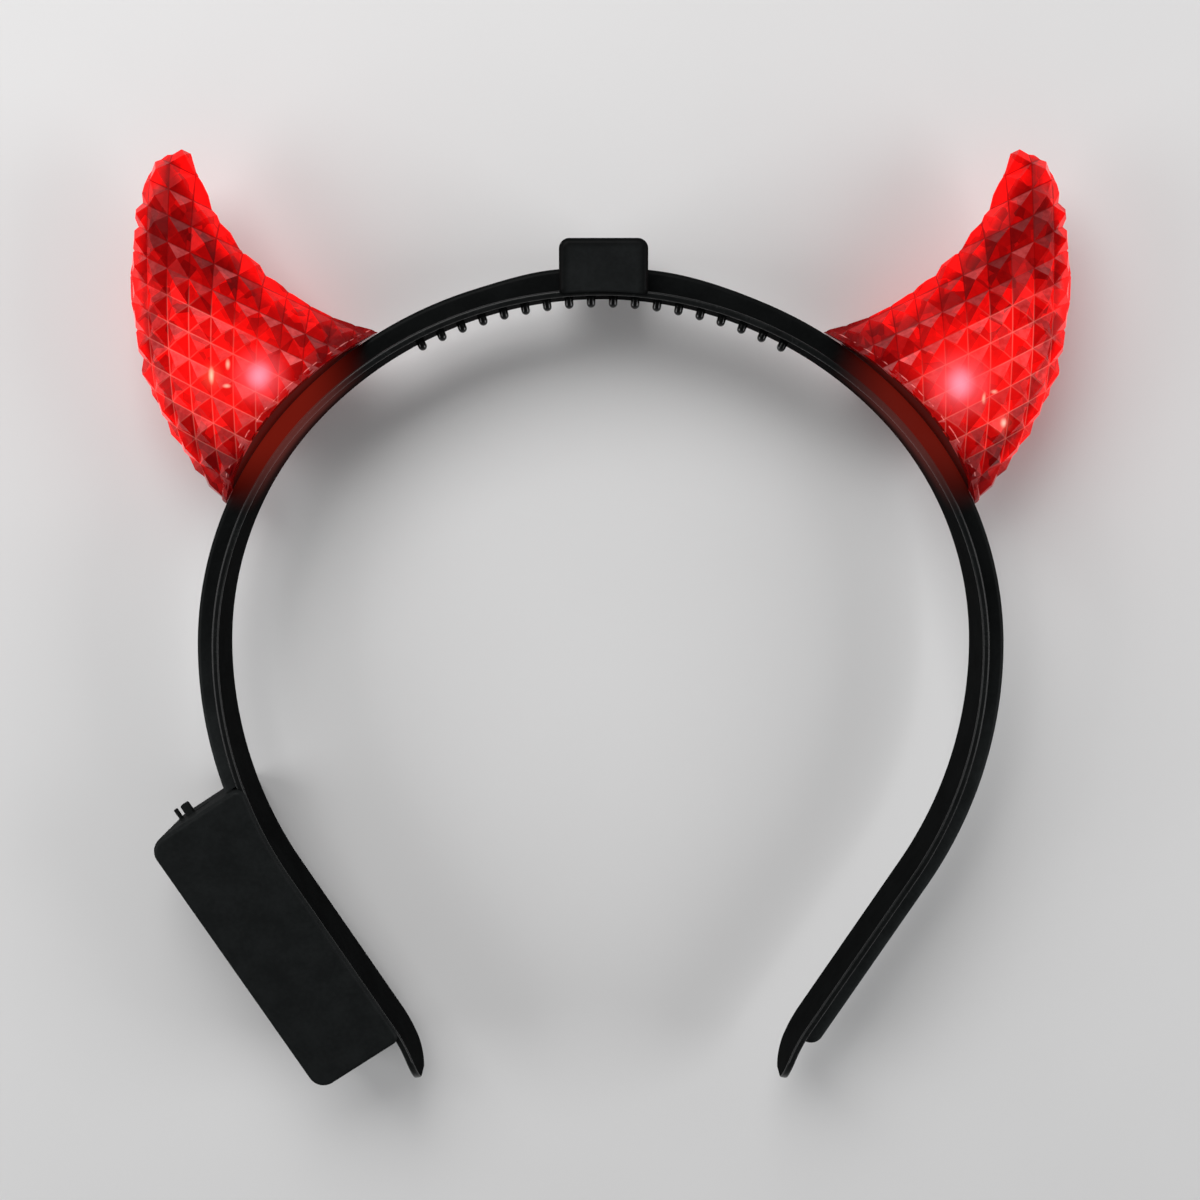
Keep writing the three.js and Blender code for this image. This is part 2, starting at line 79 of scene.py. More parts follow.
SWITCH = dict(travel=3.0, blade=12.6, blade_thick=0.5, blade_tall=2.3, block=10.65, block_thick=1.55,
              block_tall=2.3, depth=1.3, height=10.3, root=1.2, edge=0.12)
KNOB_ROUND = dict(root=0.1, blade=0.22, neck=0.15, block=0.35)
SLOT = dict(outside=1.0, deep=3.0, corner=0.2, edge=0.15)
STUD = dict(column=3.93, row=4.59, rise=1.87, x=67.3, y=72.35)
HORN = dict(base=4.4, lip=1.0, tip=97.3, foot_from=20.0, foot_to=105.0, foot_steps=240)
# The circles of a horn's outline: x and y of the middle, radius.
OUTER_CIRCLE = (30.15, 73.1, 53.1)
INNER_CIRCLE = (30.4, 107.5, 43.3)
LAMP = dict(run=59.0, seat=1.5, radius=2.5, flange=2.9, flange_tall=1.0, flange_edge=0.2, tall=8.0,
            middle=4.0, sides=36, dome_steps=10)
CAMERA = dict(sensor=36.0, lens=51.0, across=-0.12, up=53.4, above=306.25, tilt=-6.71)

band_low, band_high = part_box("band")
MID = (band_low.z + band_high.z) / 2 / MM
LOOP_Y = band_high.y / MM - CROWN_RADIUS - BAND["half"]


# The hoop's run

def lay_out_run():
    """Rows of (start distance, heading, x, y, bend), one a stretch.

    Each stretch starts where the one before it ends.
    """
    rows = []
    start, heading, x, y = 0.0, 0.0, 0.0, CROWN_RADIUS
    for stretch in BAND_RUN:
        turn = math.radians(stretch["turn"])
        length = stretch["length"] if turn == 0.0 else stretch["radius"] * abs(turn)
        bend = turn / length
        rows.append((start, heading, x, y, bend))
        if turn == 0.0:
            x += length * math.cos(heading)
            y -= length * math.sin(heading)
        else:
            x += (math.sin(heading + turn) - math.sin(heading)) / bend
            y += (math.cos(heading + turn) - math.cos(heading)) / bend
        start += length
        heading += turn
    return np.array(rows), start


RUN, RUN_END = lay_out_run()
LEG_START = RUN[3, 0]


def on_band(distance, out):
    """Places beside the hoop's middle line, and the way out there.

    The distance runs from the crown and is negative on the left. A place is the stretch's start, plus the
    chord of the arc run through so far, plus out times the normal, mirrored on the left.
    """
    distance, out = np.broadcast_arrays(np.asarray(distance, float), np.asarray(out, float))
    along = np.abs(distance)
    row = RUN[np.searchsorted(RUN[:, 0], along, side="right") - 1]
    start, heading, x, y, bend = np.moveaxis(row, -1, 0)
    step = along - start
    now = heading + bend * step
    straight = bend == 0.0
    safe = np.where(straight, 1.0, bend)
    run_x = np.where(straight, step * np.cos(heading), (np.sin(now) - np.sin(heading)) / safe)
    run_y = np.where(straight, -step * np.sin(heading), (np.cos(now) - np.cos(heading)) / safe)
    side = np.where(distance < 0, -1.0, 1.0)
    place = np.stack([side * (x + run_x + out * np.sin(now)), y + run_y + out * np.cos(now) + LOOP_Y], -1)
    return place, np.stack([side * np.sin(now), np.cos(now)], -1)


leg_place, LEG_OUT = on_band(-LEG_START, 0.0)
LEG_DOWN = np.array([-LEG_OUT[1], LEG_OUT[0]])


def beside_leg(points):
    """Turns (along the left leg, out from it) into (x, y): the leg's start plus both steps."""
    return leg_place + points[..., :1] * LEG_DOWN + points[..., 1:] * LEG_OUT


def in_loop(points):
    """Turns (x, y) about the middle of the crown's arc into the frame's (x, y)."""
    return points + np.array([0.0, LOOP_Y])


# Profiles and outlines

def draw_in(left, length):
    """How far a quarter-round end of the given length has drawn in, at a distance left to that end."""
    short = np.clip(length - left, 0.0, length)
    return length - np.sqrt(length * length - short * short)


def section(inside, outside, half_depth, round_in, round_out, steps=7):
    """A closed profile in (out, depth): a rectangle whose four corners are quarter circles.

    Each corner's points are its arc's centre plus the radius times (cos, sin) of the angle.
    """
    angle = np.linspace(0.0, np.pi / 2, steps)
    inside, outside, half_depth, round_in, round_out = np.broadcast_arrays(
        inside, outside, half_depth, round_in, round_out)
    corners = ((outside, 1, -1, round_out, 0), (inside, 1, 1, round_in, 1),
               (inside, -1, 1, round_in, 2), (outside, -1, -1, round_out, 3))
    out, depth = [], []
    for at, up, towards, radius, quarter in corners:
        turn = angle + quarter * np.pi / 2
        out.append(at + radius * (towards + np.cos(turn)))
        depth.append(up * (half_depth - radius) + radius * np.sin(turn))
    return np.concatenate(out, -1), np.concatenate(depth, -1)


def unit(vectors):
    """Vectors brought to a length of 1."""
    return vectors / np.maximum(np.linalg.norm(vectors, axis=-1, keepdims=True), 1e-9)


def rounded_outline(corners, rounds, steps=9):
    """Points and outward directions round a closed outline whose corners run counter-clockwise.

    A corner with a radius becomes an arc that touches both of its sides: the arc's centre lies on the
    corner's bisector, and its directions turn evenly from one side's normal to the other's. A corner without
    one stays a point that looks along the mean of the two normals.
    """
    corners = np.asarray(corners, float)
    rounds = np.asarray(rounds, float)
    arriving = unit(corners - np.roll(corners, 1, axis=0))
    leaving = np.roll(arriving, -1, axis=0)
    first = np.arctan2(-arriving[:, 0], arriving[:, 1])
    cross = arriving[:, 0] * leaving[:, 1] - arriving[:, 1] * leaving[:, 0]
    turn = np.arctan2(cross, np.sum(arriving * leaving, axis=-1))
    part = [np.linspace(0.0, 1.0, steps) if radius > 0 else np.array([0.5]) for radius in rounds]
    which = np.repeat(np.arange(len(corners)), [len(p) for p in part])
    angle = first[which] + turn[which] * np.concatenate(part)
    normals = np.stack([np.cos(angle), np.sin(angle)], -1)
    middle = first + turn / 2
    reach = np.sign(turn) * rounds / np.cos(turn / 2)
    centres = corners - reach[:, None] * np.stack([np.cos(middle), np.sin(middle)], -1)
    points = centres[which] + (np.sign(turn) * rounds)[which][:, None] * normals
    return points, normals


def edge_round(edge, steps=6):
    """Heights and insets of a quarter-round edge, from the flat face, inset by its radius, to the side."""
    angle = np.linspace(0.0, np.pi / 2, steps)
    return edge * (1 - np.cos(angle)), edge * (1 - np.sin(angle))


def slab_rings(outline, low, high, edge, share=1.0):
    """Rings of an outline made solid between two heights: it is inset by a quarter-round at both.

    A share of less than 1 at a point scales the inset there.
    """
    points, normals = outline
    rise, inset = edge_round(edge)
    heights = np.concatenate([low + rise, high - rise[::-1]])
    insets = np.concatenate([inset, inset[::-1]])[:, None, None] * np.reshape(share, (-1, 1))
    return raised(points - insets * normals, heights)


def raised(plane, heights):
    """Puts rings of plane points at their heights."""
    return np.concatenate([plane, np.broadcast_to(heights[:, None, None], plane.shape[:-1] + (1,))], -1)


def placed(rings, to_plane):
    """Moves rings whose first two numbers are in a plane of their own into the frame."""
    return np.concatenate([to_plane(rings[..., :2]), rings[..., 2:]], -1)


# Meshes

def piece_from(name, points, faces, material, body, sharp):
    """A piece from points in millimetres and a list of faces, with its normals turned outwards.

    Edges that fold by more than the given angle stay sharp, and flat faces keep their own normal.
    """
    mesh = bpy.data.meshes.new(name)
    mesh.from_pydata(points.reshape(-1, 3) * MM, [], faces)
    shell = bmesh.new()
    shell.from_mesh(mesh)
    bmesh.ops.recalc_face_normals(shell, faces=shell.faces)
    shell.to_mesh(mesh)
    shell.free()
    mesh.shade_smooth()
    mesh.set_sharp_from_angle(angle=math.radians(sharp))
    mesh.materials.append(material)
    piece = bpy.data.objects.new(name, mesh)
    bpy.context.scene.collection.objects.link(piece)
    flats = piece.modifiers.new("flats", "WEIGHTED_NORMAL")
    flats.keep_sharp = True
    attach(piece, body)
    return piece


def ring_faces(shells, rings, around):
    """Faces over closed rings: quads from ring to ring, and a flat face on the first and the last ring."""
    first = np.arange(shells)[:, None, None] * rings * around
    ring = np.arange(rings - 1)[None, :, None] * around
    point = np.arange(around)[None, None, :]
    after = (point + 1) % around
    a, b = first + ring + point, first + ring + after
    quads = np.stack([a, b, b + around, a + around], -1).reshape(-1, 4)
    ends = np.concatenate([first[:, 0] + point[0, :, ::-1], first[:, 0] + (rings - 1) * around + point[0]])
    return quads.tolist() + ends.tolist()


def skin(name, rings, material, body="headband", sharp=SHARP_ANGLE):
    """A closed piece over an array of rings, (rings, points, 3), or over several such shells at once."""
    shells = rings if rings.ndim == 4 else rings[None]
    return piece_from(name, shells, ring_faces(*shells.shape[:3]), material, body, sharp)


def swept(distance, out, depth):
    """Rings of a profile carried along the hoop: out is square to the run, and depth runs along +Z."""
    place, _ = on_band(distance, out)
    return np.concatenate([place, np.broadcast_to(MID + depth, place.shape[:-1])[..., None]], -1)


def turned(feet, axes, profile, sides):
    """Shells of a profile of (radius, height) turned about axes in the plane.

    A point is the foot, plus the height along the axis, plus the radius times (cos square to the axis in the
    plane, sin along +Z).
    """
    angle = np.linspace(0.0, 2 * np.pi, sides, endpoint=False)
    radius, height = profile[:, 0][None, :, None, None], profile[:, 1][None, :, None, None]
    lengthways = np.concatenate([axes, np.zeros((len(axes), 1))], -1)[:, None, None, :]
    sideways = np.stack([-axes[:, 1], axes[:, 0], np.zeros(len(axes))], -1)[:, None, None, :]
    upwards = np.array([0.0, 0.0, 1.0])
    ring = np.cos(angle)[None, None, :, None] * sideways + np.sin(angle)[None, None, :, None] * upwards
    foot = np.concatenate([feet, np.full((len(feet), 1), MID)], -1)[:, None, None, :]
    return foot + height * lengthways + radius * ring


def dome_profile(radius, length, steps, pole=0.04):
    """The profile of a round end: a quarter circle that closes on a tiny flat at the full length."""
    angle = np.linspace(0.0, np.pi / 2, steps)
    across = np.maximum(radius * np.cos(angle), pole)
    return np.stack([across, length - radius * (1 - np.sin(angle))], -1)


# Finishes

class Finish:
    """A material while it is wired: a call adds nodes and returns the output that carries their value."""

    def __init__(self, name):
        self.material = bpy.data.materials.new(name)
        self.material.use_nodes = True
        self.tree = self.material.node_tree
        self.shader = self.tree.nodes["Principled BSDF"]
        self.place = self.add("ShaderNodeTexCoord").outputs["Object"]

    def add(self, kind, **settings):
        node = self.tree.nodes.new(kind)
        for name, value in settings.items():
            setattr(node, name, value)
        return node

    def give(self, socket, value):
        if isinstance(value, bpy.types.NodeSocket):
            self.tree.links.new(value, socket)
        else:
            socket.default_value = value

    def math(self, operation, *values):
        node = self.add("ShaderNodeMath", operation=operation)
        for socket, value in zip(node.inputs, values):
            self.give(socket, value)
        return node.outputs[0]

    def smooth(self, value, low, high, start=0.0, end=1.0):
        """Runs smoothly from start to end while the value runs from low to high."""
        node = self.add("ShaderNodeMapRange", interpolation_type="SMOOTHSTEP")
        for socket, given in zip(node.inputs[:5], (value, low, high, start, end)):
            self.give(socket, given)
        return node.outputs[0]

    def mix(self, factor, first, second, blend="MIX"):
        node = self.add("ShaderNodeMix", data_type="RGBA", blend_type=blend)
        for socket, value in ((0, factor), (6, first), (7, second)):
            self.give(node.inputs[socket], value)
        return node.outputs[2]

    def noise(self, size, detail=2.0, roughness=0.5):
        """Noise whose lumps are about the given size in millimetres."""
        node = self.add("ShaderNodeTexNoise")
        self.give(node.inputs["Vector"], self.place)
        node.inputs["Scale"].default_value = 1.0 / (size * MM)
        node.inputs["Detail"].default_value = detail
        node.inputs["Roughness"].default_value = roughness
        return node.outputs["Fac"]

    def bump(self, height, depth):
        """Bump from a height of 0 to 1 that stands for a depth in millimetres."""
        node = self.add("ShaderNodeBump")
        node.inputs["Strength"].default_value = 1.0
        node.inputs["Distance"].default_value = depth * MM
        self.give(node.inputs["Height"], height)
        self.give(self.shader.inputs["Normal"], node.outputs["Normal"])

    def set(self, **sockets):
        for name, value in sockets.items():
            self.give(self.shader.inputs[name.replace("_", " ")], value)

    def place_apart(self):
        apart = self.add("ShaderNodeSeparateXYZ")
        self.give(apart.inputs[0], self.place)
        return apart.outputs

    def from_lamp(self):
        """How far out and up from the nearer horn's lamp, in millimetres: the horns are mirror images."""
        x, y, _ = self.place_apart()
        across = self.math("MULTIPLY_ADD", self.math("ABSOLUTE", x), 1 / MM, -GLOW_X)
        return across, self.math("MULTIPLY_ADD", y, 1 / MM, -GLOW_Y)

    def length(self, across, along):
        square = self.math("MULTIPLY_ADD", along, along, self.math("MULTIPLY", across, across))
        return self.math("SQRT", square)

    def about_zero(self, value, strength):
        """Turns a value between 0 and 1 into one between minus and plus half the strength."""
        return self.math("MULTIPLY_ADD", value, strength, -strength / 2)

    def times(self, first, *others):
        """The product of all values."""
        for other in others:
            first = self.math("MULTIPLY", first, other)
        return first

    def lattice(self):
        """The column and row numbers of the studs' slanted lattice."""
        across, along = self.from_lamp()
        column = self.math("DIVIDE", self.math("ADD", across, GLOW_X - STUD["x"]), STUD["column"])
        middle = self.math("MULTIPLY_ADD", column, STUD["rise"], STUD["y"] + LOOP_Y - GLOW_Y)
        level = self.math("SUBTRACT", along, middle)
        return column, self.math("DIVIDE", level, STUD["row"])

    def cells(self, size):
        """A chance value for each cell of an irregular net of about the given size in millimetres."""
        node = self.add("ShaderNodeTexVoronoi")
        self.give(node.inputs["Vector"], self.place)
        node.inputs["Scale"].default_value = 1.0 / (size * MM)
        apart = self.add("ShaderNodeSeparateColor")
        self.give(apart.inputs[0], node.outputs["Color"])
        return apart.outputs[0]

    def from_outline(self):
        """How far inside a horn's outline a place is, in mm: the least way to its circles and tip."""
        across, along = self.from_lamp()
        reach = []
        for x, y, _ in (OUTER_CIRCLE, INNER_CIRCLE):
            reach.append(self.length(self.math("SUBTRACT", across, x - GLOW_X),
                                     self.math("SUBTRACT", along, y + LOOP_Y - GLOW_Y)))
        from_outer = self.math("SUBTRACT", OUTER_CIRCLE[2], reach[0])
        from_inner = self.math("SUBTRACT", reach[1], INNER_CIRCLE[2])
        from_tip = self.math("SUBTRACT", HORN["tip"] + LOOP_Y - GLOW_Y, along)
        return self.math("MINIMUM", self.math("MINIMUM", from_outer, from_inner), from_tip)


LAMP_FOOT, LAMP_WAY = on_band(np.array([-LAMP["run"], LAMP["run"]]), HORN["base"] + LAMP["seat"] + GAP)
GLOW_X, GLOW_Y = LAMP_FOOT[1] + LAMP["middle"] * LAMP_WAY[1]
# How far apart the studs' rows and ridges lie, square to them.
ROW_APART = STUD["row"] * STUD["column"] / math.hypot(STUD["column"], STUD["rise"])
RIDGE_APART = STUD["row"] * STUD["column"] / math.hypot(STUD["column"], STUD["row"] - STUD["rise"])
# Painted blooms of glow and glints about the horns' lamps.
BLOOMS = [
    # horn (-1 left, 1 right, 0 both), out and up from its lamp (mm), half width and half height (mm),
    # strength, colour
    (0, 3.5, 1.0, 16.0, 14.0, 0.62, (0.95, 0.012, 0.010, 1)),
    (-1, -1.3, 1.3, 6.0, 6.0, 0.55, (1.0, 0.17, 0.20, 1)),
    (-1, -1.3, 1.3, 2.8, 3.2, 0.70, (0.95, 0.42, 0.56, 1)),
    (-1, 7.1, 1.2, 2.6, 3.0, 0.55, (1.0, 0.10, 0.06, 1)),
    (-1, 7.1, 1.4, 0.7, 1.9, 0.95, (1.0, 0.70, 0.46, 1)),
    (-1, 4.1, 3.3, 0.5, 1.2, 0.80, (1.0, 0.60, 0.42, 1)),
    (-1, 4.3, -0.4, 0.9, 0.5, 0.80, (1.0, 0.60, 0.44, 1)),
    (1, 1.8, 0.0, 7.5, 7.0, 0.55, (1.0, 0.17, 0.20, 1)),
    (1, 1.8, 0.0, 3.2, 3.8, 0.70, (0.95, 0.42, 0.56, 1)),
    (1, 10.2, -6.8, 2.4, 2.6, 0.50, (1.0, 0.10, 0.07, 1)),
    (1, 10.2, -6.8, 0.9, 1.1, 0.90, (1.0, 0.66, 0.52, 1)),
    (1, 6.1, -2.5, 0.5, 1.3, 0.70, (1.0, 0.60, 0.42, 1)),
    (1, 8.0, -1.4, 0.9, 0.5, 0.70, (1.0, 0.60, 0.44, 1)),
]


# Moulded black plastic: the clouds and specks of its grey, its gloss and its grain, and painted light and
# shade on it

CLOUD = dict(size=5.0, detail=4.0, share=0.6)
SPECK = dict(size=0.7, detail=3.0, share=0.4)
SHADE_RANGE = (0.3, 0.7)
GREY_TINT = (0.90, 1.0, 1.02)
GLOSS_SPREAD = 0.05
GRAIN_SIZE = 0.35
COAT_IOR = 1.5
# Heights up from the lamp where the legs' lighter grey, painted light, is full and where it ends, and ways
# in from the crown box's outline where the darker grey of its edge, painted shade, is full and where it ends.
LEG_LIGHT_FADE = (-85.0, -35.0)
EDGE_SHADE_FADE = (0.2, 2.2)
# The painted red light that spills onto the plastic: its middle out and up from the lamp, its reach, how it
# fades from the hoop's front to its back, and how it weakens from left to right.
SPILL = dict(out=1.5, up=-1.6, full=8.0, end=22.0, behind=4.0, ahead=5.0, back_share=0.15, turn=10.0,
             right_share=0.80)


# Painted light: where the rail's grey is painted lighter down the legs.
def painted_leg_light(finish):
    """How far down the legs a place is: 0 beside the horns and 1 near the tips."""
    return finish.smooth(finish.from_lamp()[1], *LEG_LIGHT_FADE, 1.0, 0.0)


# Painted shade: where the crown box's grey is painted darker along its sides and top.
def painted_crown_edge_shade(finish):
    """1 at the sides and the top of the crown box, and 0 further in than its rounded edge."""
    x, y, _ = finish.place_apart()
    from_middle = finish.math("ABSOLUTE", finish.math("MULTIPLY_ADD", x, 1 / MM, -CROWN_BOX["centre"]))
    from_side = finish.math("SUBTRACT", CROWN_BOX["width"] / 2, from_middle)
    from_top = finish.math("MULTIPLY_ADD", y, -1 / MM, CROWN_BOX["top"] + LOOP_Y)
    return finish.smooth(finish.math("MINIMUM", from_side, from_top), *EDGE_SHADE_FADE, 1.0, 0.0)


def horn_glow(finish):
    """How strongly the horns' light falls on a place: weaker far from the lamp, behind, and on the right."""
    across, along = finish.from_lamp()
    away = finish.length(finish.math("SUBTRACT", across, SPILL["out"]),
                         finish.math("SUBTRACT", along, SPILL["up"]))
    x, _, z = finish.place_apart()
    near = finish.smooth(away, SPILL["full"], SPILL["end"], 1.0, 0.0)
    back, front = (MID - SPILL["behind"]) * MM, (MID + SPILL["ahead"]) * MM
    depth = finish.smooth(z, back, front, SPILL["back_share"], 1.0)
    turn = SPILL["turn"] * MM
    side = finish.smooth(x, -turn, turn, 1.0, SPILL["right_share"])
    return finish.times(near, depth, side)


def black_finish(name, dark, light, specular, roughness, coat, grain, glow=None, where=None, factor=1.0):
    """Moulded black plastic: clouded colour, uneven gloss under a thin clear skin, and a fine grain.

    The dark and light greys are the ends of the clouds. Where the given function is 1, both are multiplied by
    the factor: painted light where it is above 1, painted shade where it is below 1. The glow is painted
    light:
    the horns' red on the front of the plastic near them.
    """
    finish = Finish(name)
    clouds = finish.noise(CLOUD["size"], detail=CLOUD["detail"])
    specks = finish.noise(SPECK["size"], detail=SPECK["detail"])
    mottle = finish.math("MULTIPLY_ADD", specks, SPECK["share"], finish.times(clouds, CLOUD["share"]))
    shade = finish.smooth(mottle, *SHADE_RANGE)
    greys = [tuple(grey * tint for tint in GREY_TINT) + (1,)
             for grey in (dark, light, dark * factor, light * factor)]
    colour = finish.mix(shade, *greys[:2])
    if where:
        colour = finish.mix(where(finish), colour, finish.mix(shade, *greys[2:]))
    gloss = finish.smooth(shade, 0.0, 1.0, roughness - GLOSS_SPREAD, roughness + GLOSS_SPREAD)
    finish.set(Base_Color=colour, Roughness=gloss, Specular_IOR_Level=specular, Coat_Weight=coat,
               Coat_Roughness=roughness, Coat_IOR=COAT_IOR)
    finish.bump(finish.noise(GRAIN_SIZE), grain)
    if glow:
        finish.set(Emission_Color=finish.mix(horn_glow(finish), (0, 0, 0, 1), glow), Emission_Strength=1.0)
    return finish.material


# name, dark and light grey, specular level, roughness, coat, grain (mm), glow of painted red light
SATIN = black_finish("satin_black", 0.0085, 0.0130, 0.0, 0.40, 0.08, 0.012)
# Painted shade darkens the crown box's grey along its sides and top.
CROWN_BLACK = black_finish("crown_black", 0.0085, 0.0130, 0.0, 0.40, 0.07, 0.012,
                           where=painted_crown_edge_shade, factor=0.3)
# The rail's grey is painted lighter down the legs: painted light.
RAIL_BLACK = black_finish("rail_black", 0.0045, 0.0070, 0.0, 0.36, 0.06, 0.012, (0.188, 0.0100, 0.0050, 1),
                          where=painted_leg_light, factor=4.0)
SEAT_BLACK = black_finish("seat_black", 0.006, 0.0090, 0.0, 0.40, 0.10, 0.012, (0.07, 0.0045, 0.003, 1))
# The polished faces' glow is a painted reflection near the horns.
POLISHED = black_finish("polished_black", 0.002, 0.004, 0.0, 0.16, 0.018, 0.003, (0.10, 0.022, 0.018, 1))
BAND_EDGE = black_finish("band_edge_black", 0.005, 0.008, 0.18, 0.24, 0.0, 0.003, (0.11, 0.022, 0.018, 1))
TOOTH_BLACK = black_finish("tooth_black", 0.003, 0.005, 0.5, 0.12, 0.0, 0.002)

# The lit horn's painted light and shade: patches, streaks, outline light, foot shade and colours

# Painted light: the patches stand for the far wall's facets seen through the horn, and the streaks break it
# up.
PATCHES = dict(size=2.4, strength=0.40)
STREAKS = dict(size=1.2, detail=3.0, roughness=0.6, strength=0.30)
RIPPLES = dict(size=0.8, detail=1.0, depth=0.01)
# The outline's light ends some way in from it, and is weaker near the foot.
RIM = dict(full=0.6, end=4.2, light=0.58, foot_share=0.3, foot_start=1.0, foot_end=15.0)
FOOT_SHADE = dict(start=0.3, end=3.5, share=0.45)
# The shares of light between which deep red turns into middle red, and middle red into full red.
MIDDLE_STEP = (0.0, 0.5)
FULL_STEP = (0.4, 1.0)
# The painted pale reflection is broken up by the streaks, and is weaker on the outline.
PALE_BREAK = dict(start=0.3, end=0.65, share=0.5)
PALE_RIM = dict(start=0.2, end=0.8, share=0.15)
# Painted highlights and shade along the studs' lines: half width, strengths, the place out and up from the
# lamp round which they are lit, and the lean of the border between their lit and their dark side.
LINE = dict(full=0.05, end=0.16, grooves=0.75, ridges=0.40, out=6.0, up=3.0, near=8.0, far=20.0, lean=-0.9)
LIT_FADE = (1.0, 11.0)
DARK_FADE = (4.0, 14.0)
DARK_SHARE = 0.6
# The painted glint on the foot's lip: its half width, and the noise that breaks it into dashes.
LIP = dict(full=0.04, end=0.13, dash=1.6, dash_start=0.48, dash_end=0.58)
HORN_BODY = (0.22, 0.0015, 0.002, 1)
# The painted light's colours: deep to full red glow, pale reflection, line highlights and the lip's glint.
DEEP_RED = (0.012, 0.0005, 0.0007, 1)
MIDDLE_RED = (0.26, 0.0015, 0.0015, 1)
FULL_RED = (0.92, 0.0040, 0.0035, 1)
PALE_LIGHT = (0.45, 0.195, 0.195, 1)
LINE_LIGHT = (0.26, 0.12, 0.095, 1)
GLINT = (0.44, 0.16, 0.15, 1)
LAMP_BODY = (0.9, 0.3, 0.26, 1)
LAMP_FLANGE = (1.0, 0.10, 0.08, 1)
LAMP_HEART = (1.0, 0.62, 0.55, 1)
LAMP_FADE = (1.0, 6.0)
LAMP_RIPPLES = dict(size=1.0, depth=0.01)


def lattice_lines(finish):
    """How near a place is to the studs' lines: 1 on a line and 0 away from it, for grooves and for ridges.

    The lattice's column and row numbers are whole on the grooves, so the distance to the nearest groove is
    the distance of the number from a whole one, times the spacing. On the ridges that rise towards the
    middle, the sum of the two numbers is whole.
    """
    column, row = finish.lattice()
    both = finish.math("ADD", column, row)
    lines = []
    for number, spacing in ((column, STUD["column"]), (row, ROW_APART), (both, RIDGE_APART)):
        near = finish.times(finish.math("PINGPONG", number, 0.5), spacing)
        lines.append(finish.smooth(near, LINE["full"], LINE["end"], 1.0, 0.0))
    return finish.math("MAXIMUM", lines[0], lines[1]), lines[2]


